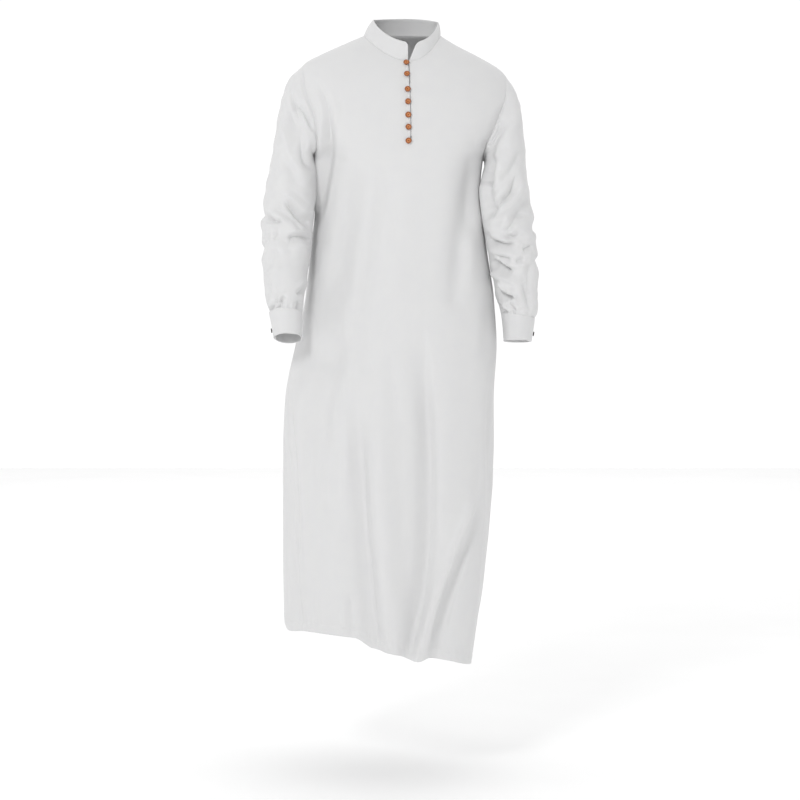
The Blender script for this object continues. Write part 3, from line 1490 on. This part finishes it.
@dataclass(frozen=True)
class SleeveAssembly:
    """A sleeve, its cuff, the cuff's button and the stitches."""

    side: str
    form: SleeveForm
    band: tuple[Sleeve, ...]
    body: BodyForm
    finishes: "Finishes"
    rows: int = Density.armhole_rows
    overlap: float = 26.0  # degrees by which the cuff's ends lie over each other
    row_length: float = 26.0  # mm from one of the cuff's rings to the next
    columns: int = 170
    band_rows: int = 18
    puffed: float = 0.2 * MM  # how far the cuff stands out all over
    button_radius: float = 5.0 * MM
    button_thick: float = 2.2 * MM
    button_foot: float = 0.6 * MM
    button_row: float = 1.35

    def sleeve(self) -> Object:
        """The long sleeve as one open tube.

        Returns:
            The piece.
        """
        points = self.form.grid(self.body, self.rows)
        grid = make_grid(points, self.form.facing_out(points), closed=True)
        return declare(shell(f"sleeve_cloth_{self.side}", grid, CLOTH, self.finishes.cloth),
                       "robe_cloth", f"sleeve_{self.side}")

    def band_surface(self, angle: Array, place: Array) -> tuple[Array, Array]:
        """The cuff's middle surface, whose last stretch climbs over its first.

        Args:
            angle: Degrees round it.
            place: Rows down its table of rings.

        Returns:
            The points and their unit normals.
        """
        row = read_table(self.band, place)
        points = tube_points(row, angle)
        around = tube_points(row, angle + 1) - tube_points(row, angle - 1)
        axis = unit(points[-1].mean(axis=0) - points[0].mean(axis=0))
        out = unit(np.cross(around, axis))
        if np.sum(out * (points - points.mean(axis=1, keepdims=True))) < 0:
            out = -out
        travelled = self.overlap / 2 - angle
        climb = (travelled - 360 + 2 * self.overlap) / (2 * self.overlap)
        step = SOLID_BAND + SEAM
        raised = np.where(travelled >= 360, step, step * ease(climb))
        last = len(self.band) - 1
        from_edge = np.minimum(place, last - place) * self.row_length
        wave = 0.35 * np.sin(np.radians(angle) * 5 + place) + 0.2 * np.sin(np.radians(angle) * 9)
        moved = raised + self.puffed + (quilted(from_edge, 3.2, 0.22) + wave) * MM
        return points + out * moved[..., None], out

    def band_angles(self, count: int) -> Array:
        """Angles from the cuff's inner end round to its outer end."""
        return np.linspace(self.overlap / 2, -self.overlap / 2 - 360, count)

    def cuff(self) -> Object:
        """The band, once round the wrist.

        Returns:
            The piece.
        """
        places = np.linspace(0, len(self.band) - 1, self.band_rows + 1)
        angle, place = np.meshgrid(self.band_angles(self.columns + 1), places)
        grid = make_grid(*self.band_surface(angle, place))
        return declare(shell(f"cuff_cloth_{self.side}", grid, BAND, self.finishes.band),
                       "band_cloth", f"cuff_{self.side}")

    def cuff_stitches(self) -> Object:
        """A row of stitches along each edge of the cuff.

        Returns:
            The piece.
        """
        last, inset = len(self.band) - 1, 0.12
        angles = self.band_angles(400)[4:-4]
        places = np.array([0.0, inset, last - inset, last])[:, None]
        angle, place = np.broadcast_arrays(angles[None], places)
        points, out = self.band_surface(angle, place)
        lifted = points + out * BAND / 2
        routes = [(lifted[k], out[k]) for k in (1, 2)]
        return declare(Stitching().lay(f"stitches_cuff_{self.side}", routes,
                                       self.finishes.thread), "band_cloth")

    def button(self) -> Object:
        """The small dark button on the cuff's outer end.

        Returns:
            The piece.
        """
        angle, place = np.array([[0.0]]), np.array([[self.button_row]])
        row, near = read_table(self.band, place), read_table(self.band, place + 0.2)
        point = tube_points(row, angle)[0, 0]
        down = unit(tube_points(near, angle)[0, 0] - point)
        out = unit(np.cross(tube_points(row, angle + 2)[0, 0]
                            - tube_points(row, angle - 2)[0, 0], down))
        out = out if out[0] * point[0] > 0 else -out
        lift = self.puffed + SOLID_BAND + SEAM + SOLID_BAND / 2 + SEAM
        placing = placing_matrix(point + out * lift, out, down)
        return declare(ButtonShape(self.button_radius, self.button_thick, self.button_foot).make(
            f"cuff_button_top_{self.side}", placing, self.finishes.plastic),
            "cuff_button", f"cuff_button_{self.side}")

    def build(self) -> None:
        """Make every piece and say what it is."""
        sleeve, cuff = self.sleeve(), self.cuff()
        stitches = self.cuff_stitches()
        self.button()


@dataclass(frozen=True)
class ButtonShape:
    """A turned button with a raised rim and a dished middle, on a short shank."""

    radius: float
    thick: float
    foot: float
    sides: int = 48
    shank: float = 1.4 * MM

    def profile(self) -> list[Pair]:
        """The button's outline.

        Returns:
            Radius and height from the middle of the face round to the middle of the foot.
        """
        r, t, low = self.radius, self.thick, self.foot
        face = [(0.0, 0.60), (0.06, 0.60), (0.20, 0.605), (0.40, 0.62), (0.52, 0.65),
                (0.58, 0.70), (0.62, 0.67), (0.66, 0.72), (0.72, 0.86), (0.78, 0.95),
                (0.84, 1.0), (0.90, 0.98), (0.95, 0.90), (0.985, 0.78), (1.0, 0.62),
                (0.995, 0.46), (0.96, 0.26), (0.90, 0.10), (0.84, 0.02), (0.78, 0.0)]
        stem = [(self.shank, low), (self.shank, low * 0.5), (self.shank, 0.0), (0.0, 0.0)]
        return [(r * a, low + t * b) for a, b in face] + stem

    def make(self, name: str, placing: Matrix,
             material: Material) -> Object:
        """Turn the button."""
        return lathe(name, self.profile(), placing, self.sides, material)


@dataclass(frozen=True)
class Closure:
    """The seven buttons beside the slit and their loops."""

    body: BodyForm
    finishes: "Finishes"
    drops: tuple[float, ...] = (68.5, 93.0, 126.0, 152.0, 180.0, 205.5, 234.0)  # mm down
    aside: float = 5.0 * MM
    radius: float = BUTTON_RADIUS
    thick: float = 2.6 * MM
    clear: float = 1.6 * MM  # the solid loop's thickness, which the button stands over
    loop_radius: float = 0.75 * MM
    loop_reach: float = 3.5 * MM  # past the slit
    turned: float = 37.0  # degrees from one button's grain to the next

    def placing(self, drop: float) -> Matrix:
        """Where a button's foot stands on the cloth.

        Args:
            drop: How far below the origin, in mm.

        Returns:
            The placing.
        """
        station = np.array([self.body.front_station(drop)])
        angle = 90.0 + self.body.degrees_for(self.aside, np.array([90.0]), station)
        point, out = self.body.draped(angle, station)
        below, _ = self.body.draped(angle, station + 0.05)
        above, _ = self.body.draped(angle, station - 0.05)
        down = unit(below - above)[0]
        return placing_matrix(point[0] + out[0] * (SOLID_CLOTH / 2 + SEAM), out[0], down)

    def loop(self, number: int, placing: Matrix) -> Object:
        """The loop from across the slit round the button's shank and back.

        Args:
            number: Of the button, 1 being the highest.
            placing: The button's.

        Returns:
            The piece.
        """
        bend = ButtonShape.shank + SEAM + self.loop_radius
        reach = self.aside + self.loop_reach
        turn = np.linspace(-math.pi / 2, math.pi / 2, 21)
        leg = [(x, bend * (0.55 + 0.45 * (1 - x / reach)))
               for x in np.linspace(reach, 0, 10, endpoint=False)]
        route = np.array([(x, -y) for x, y in leg]
                         + [(-bend * math.cos(a), bend * math.sin(a)) for a in turn]
                         + leg[::-1])
        points = np.concatenate([route, np.full((len(route), 1), self.loop_radius)], axis=1)
        item = tube(f"loop_cord_{number}", points, self.loop_radius, 10, self.finishes.loop)
        item.matrix_world = placing
        return declare(item, "loop_cloth", f"loop_{number}")

    def build(self) -> None:
        """Make all buttons and loops."""
        shape = ButtonShape(self.radius, self.thick, self.clear + SEAM)
        for number, drop in enumerate(self.drops, 1):
            placing = self.placing(drop)
            spun = placing @ Matrix.Rotation(math.radians(self.turned * number), 4, "Z")
            button = shape.make(f"wood_button_{number}", spun, self.finishes.wood)
            declare(button, "button_wood", f"button_{number}")
            self.loop(number, placing)


@dataclass(frozen=True)
class Collar:
    """The band collar with its rounded front corners."""

    body: BodyForm
    finishes: "Finishes"
    top: Ring = COLLAR_TOP
    left_end: Pair = COLLAR_END_LEFT
    right_end: Pair = COLLAR_END_RIGHT
    columns: int = 230
    rows: int = 22
    corner: float = 9.0 * MM
    bulge: float = 1.5 * MM
    top_inset: float = 3.4 * MM  # of the stitches below the upper edge
    foot_inset: float = 3.2 * MM  # and above the seam

    def end_angle(self, x: float, at_top: bool) -> float:
        """Where an end of the collar stands.

        Args:
            x: In mm.
            at_top: Whether at the collar's top and not at its foot.

        Returns:
            The angle at which that ring has the x.
        """
        tries = np.linspace(60, 120, 241)
        ring = self.top if at_top else self.body.rings[0]
        row = read_table((ring, ring), np.zeros(len(tries)))
        return float(np.interp(-x, -self.body.ring_points(row, tries)[:, 0] / MM, tries))

    def surface(self, share: Array, heights: Array) -> tuple[Array, Array]:
        """Middle surface of the collar from its left end round the back to its right end.

        Args:
            share: Its columns as shares of the way round.
            heights: Its rows as shares of its height.

        Returns:
            Rows by columns of points, and their unit normals.
        """
        starts = [self.end_angle(self.left_end[k], bool(k)) for k in (0, 1)]
        ends = [self.end_angle(self.right_end[k], bool(k)) for k in (0, 1)]
        foot, top = (a + (b - 360 - a) * share for a, b in zip(starts, ends))
        zeros = np.zeros(share.shape)
        low, panel_out = self.body.draped(foot, zeros + 0.001)
        row = read_table((self.top, self.top), zeros)
        high = self.body.ring_points(row, top)
        run = np.concatenate([[0], np.cumsum(np.linalg.norm(np.diff(high, axis=0), axis=-1))])
        from_end = np.minimum(run, run[-1] - run)
        short = np.clip(self.corner - from_end, 0, self.corner)
        tall = np.linalg.norm(high - low, axis=-1)
        reach = 1 - (self.corner - np.sqrt(self.corner**2 - short**2)) / tall
        up = unit(high - low)
        down_panel = unit(self.body.folded(foot, zeros + 0.1) - low)
        out = unit(np.cross(np.gradient(low + high, axis=0), up))
        if np.sum(out * (low - low.mean(axis=0))) < 0:
            out = -out
        bend = np.arccos(np.clip(np.sum(up * -down_panel, axis=-1), -1, 1))
        off = SEAM + SOLID_BAND / 2 * np.sin(bend / 2)
        lifted = low + unit(up - down_panel) * off[:, None]
        mitre = unit(out + panel_out)
        points, outs = [], []
        for height in heights:
            level = height * reach
            up_mm = level * tall / MM
            edge = np.minimum(np.minimum(up_mm, reach * tall / MM - up_mm), from_end / MM)
            wave = 0.3 * np.sin(run / MM / 23 + 2 * level) * np.sin(math.pi * level)
            moved = self.bulge * np.sin(math.pi * level) + (quilted(edge, 3.4, 0.24) + wave) * MM
            points.append(lifted + (high - lifted) * level[:, None] + out * moved[:, None])
            lean = ease(np.array(height / 0.12))
            outs.append(unit(mitre + (out - mitre) * lean))
        return np.array(points), np.array(outs)

    def build(self) -> None:
        """The collar and the stitches round its edge."""
        even = np.linspace(0, 1, self.columns + 1)
        close = 0.03 * np.array([0.06, 0.14, 0.25, 0.4, 0.55, 0.75, 0.9])
        share = np.sort(np.concatenate([even, close, 1 - close]))
        heights = np.linspace(0, 1, self.rows + 1)
        points, outs = self.surface(share, heights)
        collar = declare(shell("collar_cloth", make_grid(points, outs), BAND,
                               self.finishes.band), "band_cloth", "collar")
        tall = np.linalg.norm(points[-1] - points[0], axis=-1)
        routes = []
        for level in (1 - self.top_inset / tall, self.foot_inset / tall):
            level = np.clip(level, 0.05, 0.95) * self.rows
            k = np.clip(level.astype(int), 0, self.rows - 1)
            t = (level - k)[:, None]
            j = np.arange(len(share))
            along = points[k, j] * (1 - t) + points[k + 1, j] * t
            normals = unit(outs[k, j] * (1 - t) + outs[k + 1, j] * t)
            keep = slice(5, -5)
            for way in (1, -1):  # outside and inside
                routes.append(((along + way * normals * BAND / 2)[keep], way * normals[keep]))
        stitches = declare(Stitching().lay("stitches_collar", routes, self.finishes.thread),
                           "band_cloth")


# ---- the finishes
def linear(colour: str) -> tuple[float, float, float, float]:
    """Turn an sRGB hex colour into linear RGBA."""
    parts = (int(colour[k:k + 2], 16) / 255 for k in (1, 3, 5))
    return (*(p / 12.92 if p <= 0.04045 else ((p + 0.055) / 1.055) ** 2.4 for p in parts), 1.0)


def add_node(tree: NodeTree, kind: str, inputs: dict[Any, Any] | None = None,
             stops: Sequence[tuple[float, str]] = (), **settings: Any) -> bpy.types.Node:
    """Add a node with its settings and links.

    Args:
        tree: The node tree.
        kind: The node's type, without ShaderNode before it.
        inputs: By an input's name or number, its value, a socket or a node whose first output
            is linked to it.
        stops: A colour ramp's places and hex colours.
        settings: The node's own settings.

    Returns:
        The new node.
    """
    node = tree.nodes.new(f"ShaderNode{kind}")
    for name, value in settings.items():
        setattr(node, name, value)
    for key, value in (inputs or {}).items():
        value = value.outputs[0] if isinstance(value, bpy.types.Node) else value
        if isinstance(value, bpy.types.NodeSocket):
            tree.links.new(value, node.inputs[key])
        else:
            node.inputs[key].default_value = value
    for k, (place, colour) in enumerate(stops):
        band = node.color_ramp.elements
        element = band[k] if k < len(band) else band.new(place)
        element.position, element.color = place, linear(colour)
    return node


def dressed(name: str, surface: Callable[..., dict[str, Any]]) -> Material:
    """Make a material of one Principled shader.

    Args:
        name: The material's name.
        surface: Adds the nodes before the shader, by the function it is given, and returns
            the shader's inputs.

    Returns:
        The material.
    """
    material = bpy.data.materials.new(name)
    material.use_nodes = True
    material.node_tree.nodes.clear()
    add = partial(add_node, material.node_tree)
    shader = add("BsdfPrincipled", surface(add))
    add("OutputMaterial", {"Surface": shader})
    return material


@dataclass(frozen=True)
class ClothFinish:
    """Plain-woven white cloth of cotton and linen."""

    name: str
    colour: str = "#DEDEDE"
    shade: str = "#DCDCDD"  # the slightly greyer threads and patches
    pitch: float = 0.55 * MM  # from thread to thread: really 0.3 mm, drawn as coarse as shows
    slub: float = 1.1 * MM  # a thicker stretch of thread
    drawn_out: float = 0.09  # a slub's width as a share of its length
    thread_deep: float = 0.07 * MM
    soft_deep: float = 0.12 * MM  # unevenness of 4 to 9 mm
    broad_deep: float = 0.22 * MM  # unevenness of 15 to 40 mm
    roughness: Pair = (0.80, 0.92)
    sheen: float = 0.15

    def surface(self, add: Adder) -> dict[str, Any]:
        """A matt white with a faint grid of threads, slubs along them and soft unevenness.

        Args:
            add: Adds a node.

        Returns:
            The shader's inputs.
        """
        place = add("TexCoord")
        cut, space = place.outputs["UV"], place.outputs["Object"]
        scale = 2 * math.pi / 20 / self.pitch
        over, under = (add("TexWave", {"Vector": cut, "Scale": scale, "Distortion": 0.4, "Detail": 1.0},
                           bands_direction=way).outputs["Fac"] for way in "XY")
        both = add("Math", {0: over, 1: under}, operation="MULTIPLY")
        gaps = [add("Math", {0: 1.0, 1: wave}, operation="SUBTRACT") for wave in (over, under)]
        neither = add("Math", {0: gaps[0], 1: gaps[1]}, operation="MULTIPLY")
        weave = add("Math", {0: both, 1: neither}, operation="ADD")
        stretched = [add("Mapping", {"Vector": cut, "Scale": size})
                     for size in ((1.0, self.drawn_out, 1.0), (self.drawn_out, 1.0, 1.0))]
        warp, weft = (add("TexNoise", {"Vector": vector, "Scale": 1 / self.slub})
                      for vector in stretched)
        slubs = add("Math", {0: warp, 1: weft}, operation="MAXIMUM")
        soft, broad = (add("TexNoise", {"Vector": space, "Scale": 1 / size, "Detail": 3.0})
                       for size in (6 * MM, 26 * MM))
        patches = add("Math", {0: broad, 1: 0.55}, operation="MULTIPLY")
        tone = add("Math", {0: slubs, 1: 0.45, 2: patches}, operation="MULTIPLY_ADD")
        colour = add("ValToRGB", {"Fac": tone}, ((0.30, self.shade), (0.62, self.colour)))
        normal = add("Bump", {"Height": broad, "Distance": self.broad_deep, "Strength": 0.5})
        for height, deep, strength in ((soft, self.soft_deep, 0.6), (slubs, self.thread_deep, 0.5),
                                       (weave, self.thread_deep, 0.7)):
            normal = add("Bump", {"Height": height, "Distance": deep, "Strength": strength,
                                  "Normal": normal})
        rough = add("MapRange", {"Value": soft, "To Min": self.roughness[0],
                                 "To Max": self.roughness[1]})
        return {"Base Color": colour, "Roughness": rough, "Normal": normal, "Sheen Weight": self.sheen,
                "Sheen Roughness": 0.5, "Specular IOR Level": 0.3}


@dataclass(frozen=True)
class WoodFinish:
    """Turned brown wood with a thin wax."""

    name: str = "turned_brown_wood"
    radius: float = BUTTON_RADIUS
    grain: float = 0.9 * MM
    rings: tuple[tuple[float, str], ...] = (
        (0.0, "#4A2811"), (0.15, "#5A3016"), (0.24, "#DA8A44"), (0.50, "#E79C58"),
        (0.66, "#B9723A"), (0.90, "#BC7238"), (1.0, "#9A5A2C"))  # from the middle to the rim

    def surface(self, add: Adder) -> dict[str, Any]:
        """A soft gloss on streaked grain, darker in the middle and round the rim.

        Args:
            add: Adds a node.

        Returns:
            The shader's inputs.
        """
        space = add("TexCoord").outputs["Object"]
        parts = add("SeparateXYZ", {"Vector": space})
        squares = [add("Math", {0: part, 1: part}, operation="MULTIPLY")
                   for part in (parts.outputs["X"], parts.outputs["Y"])]
        total = add("Math", {0: squares[0], 1: squares[1]}, operation="ADD")
        reach = add("Math", {0: total}, operation="SQRT")
        share = add("Math", {0: reach, 1: self.radius}, operation="DIVIDE")
        stretched = add("Mapping", {"Vector": space, "Scale": (1.0, 0.16, 1.0)})
        grain = add("TexNoise", {"Vector": stretched, "Scale": 1 / self.grain, "Detail": 4.0})
        uneven = add("Math", {0: grain, 1: 0.05, 2: share}, operation="MULTIPLY_ADD")
        rings = add("ValToRGB", {"Fac": uneven}, self.rings)
        streaks = add("ValToRGB", {"Fac": grain}, ((0.35, "#B08A6C"), (0.65, "#FFFFFF")))
        colour = add("MixRGB", {0: 1.0, 1: rings, 2: streaks}, blend_type="MULTIPLY")
        normal = add("Bump", {"Height": grain, "Distance": 0.06 * MM, "Strength": 0.5})
        return {"Base Color": colour, "Normal": normal, "Roughness": 0.42, "Coat Weight": 0.15}


@dataclass(frozen=True)
class PlasticFinish:
    """Dark moulded plastic."""

    name: str = "dark_moulded_plastic"
    colour: str = "#3B3532"
    shade: str = "#2B2624"

    def surface(self, add: Adder) -> dict[str, Any]:
        """A satin dark brown with a fine moulded grain.

        Args:
            add: Adds a node.

        Returns:
            The shader's inputs.
        """
        space = add("TexCoord").outputs["Object"]
        cloud = add("TexNoise", {"Vector": space, "Scale": 1 / (2.5 * MM), "Detail": 3.0})
        colour = add("ValToRGB", {"Fac": cloud}, ((0.3, self.shade), (0.7, self.colour)))
        fine = add("TexNoise", {"Vector": space, "Scale": 1 / (0.25 * MM)})
        normal = add("Bump", {"Height": fine, "Distance": 0.02 * MM, "Strength": 0.5})
        return {"Base Color": colour, "Normal": normal, "Roughness": 0.38}


@dataclass(frozen=True)
class FloorFinish:
    """White painted board."""

    name: str = "white_floor"

    def surface(self, add: Adder) -> dict[str, Any]:
        """A matt white with faint mottling.

        Args:
            add: Adds a node.

        Returns:
            The shader's inputs.
        """
        space = add("TexCoord").outputs["Object"]
        mottling = add("TexNoise", {"Vector": space, "Scale": 1 / 0.4})
        tone = add("ValToRGB", {"Fac": mottling}, ((0.3, "#FBFBFB"), (0.7, "#FDFDFD")))
        return {"Base Color": tone, "Roughness": 0.75}


class Finishes:
    """Every finish of the robe."""

    def __init__(self) -> None:
        """Make them."""
        cotton = ClothFinish("white_cotton_linen")
        band = ClothFinish("white_cotton_band", soft_deep=0.08 * MM, broad_deep=0.2 * MM)
        cord = ClothFinish("white_loop_cord", pitch=0.4 * MM)
        thread = ClothFinish("white_cotton_thread", colour="#F0F0F0", shade="#DADADA", pitch=0.2 * MM,
                             soft_deep=0.03 * MM, broad_deep=0.05 * MM)
        self.cloth, self.band, self.loop, self.thread, self.wood, self.plastic = (
            dressed(finish.name, finish.surface)
            for finish in (cotton, band, cord, thread, WoodFinish(), PlasticFinish()))


# ---- the studio
@dataclass(frozen=True)
class SoftBox:
    """A square studio light: its place, aim, size in metres, power in watts."""

    name: str
    place: Triple
    aim: Triple
    size: float
    power: float


@dataclass(frozen=True)
class Studio:
    """A white floor, soft lights, a pale world and the camera."""

    floor_z: float = -1.57
    floor_half: float = 9.0
    camera: Triple = (-0.0043, -5.0, -0.57)
    aim: Triple = (-0.0043, 0.0, -0.7802)
    lens: float = 104.7
    behind: float = 1.05  # brightness of the world behind the robe
    before: float = 0.34  # and on the camera's side
    overhead: float = 0.3  # how much the sky above counts as behind
    lights: tuple[SoftBox, ...] = (
        SoftBox("key", (-1.5, -3.85, 1.5), (0, 0, -0.7), 0.9, 60.0),
        SoftBox("front", (1.0, -4.1, 0.3), (0, 0, -0.7), 1.5, 14.0),
        SoftBox("floor", (0, 5.6, 3.0), (0, 5.6, -1.5), 5.6, 66.0),
    )

    @staticmethod
    def hang(name: str, data: Any, place: Triple, aim: Triple) -> Object:
        """Put up a light or the camera.

        Args:
            name: The object's name.
            data: What it holds.
            place: Where it is.
            aim: Where it looks.

        Returns:
            The object.
        """
        item = bpy.data.objects.new(name, data)
        item.location = place
        item.rotation_euler = (Vector(aim) - Vector(place)).to_track_quat("-Z", "Y").to_euler()
        bpy.context.scene.collection.objects.link(item)
        return item

    def floor(self) -> None:
        """A plain white floor."""
        h = self.floor_half
        corners = np.array([(-h, -h, self.floor_z), (h, -h, self.floor_z),
                            (h, h, self.floor_z), (-h, h, self.floor_z)])
        finish = FloorFinish()
        new_object("studio_floor", corners, [(0, 1, 2, 3)],
                            dressed(finish.name, finish.surface))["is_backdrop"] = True

    def world(self) -> None:
        """A world that is white behind the robe and greyer towards the camera."""
        world = bpy.data.worlds.new("studio_world")
        world.use_nodes = True
        world.node_tree.nodes.clear()
        add = partial(add_node, world.node_tree)
        place = add("TexCoord").outputs["Generated"]
        way = add("SeparateXYZ", {"Vector": place}).outputs
        above = add("Math", {0: way["Z"], 1: 0.0}, operation="MAXIMUM")
        ahead = add("Math", {0: above, 1: self.overhead, 2: way["Y"]}, operation="MULTIPLY_ADD")
        level = add("MapRange", {"Value": ahead, "From Min": -0.8, "From Max": 0.4,
                                 "To Min": self.before, "To Max": self.behind},
                    interpolation_type="SMOOTHSTEP")
        shader = add("Background", {"Color": (1.0, 1.0, 1.0, 1.0), "Strength": level})
        add("OutputWorld", {"Surface": shader})
        bpy.context.scene.world = world

    def build(self) -> None:
        """Set everything up."""
        bpy.context.scene.view_settings.view_transform = "Standard"
        self.floor()
        self.world()
        for box in self.lights:
            light = bpy.data.lights.new(box.name, "AREA")
            light.shape, light.size, light.energy = "SQUARE", box.size, box.power
            self.hang(box.name, light, box.place, box.aim)
        lens = bpy.data.cameras.new("camera")
        lens.lens, lens.sensor_width, lens.clip_end = self.lens, 36.0, 60.0
        bpy.context.scene.camera = self.hang("camera", lens, self.camera, self.aim)


def plain_list(box: Any) -> Any:
    """Turn vectors into lists.

    Args:
        box: A number, or a vector or list of them, nested or not.

    Returns:
        The same as nested lists of numbers.
    """
    if isinstance(box, (int, float)):
        return float(box)
    return [plain_list(part) for part in box]


def main() -> None:
    """Build the robe and its studio."""
    logging.basicConfig(level=logging.INFO)
    cad_box = plain_list(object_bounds())
    finishes = Finishes()
    form = BodyForm()
    robe = RobeBody(form, finishes)
    front, back, underlap = robe.front(), robe.back(), robe.underlap()
    hem, slit = robe.hem_stitches(), robe.slit_stitches()
    for side, rings, bends, laid, band in (
            ("right", SLEEVE_RIGHT, BENDS_RIGHT, RIGHT_CREASES, CUFF_RIGHT),
            ("left", SLEEVE_LEFT, BENDS_LEFT, LEFT_CREASES, CUFF_LEFT)):
        sleeve = SleeveForm(rings, bends, laid, side == "left")
        SleeveAssembly(side, sleeve, band, form, finishes).build()
    Collar(form, finishes).build()
    Closure(form, finishes).build()
    Studio().build()
    bpy.context.view_layer.update()
    plain_list(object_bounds())


if __name__ == "__main__":
    main()
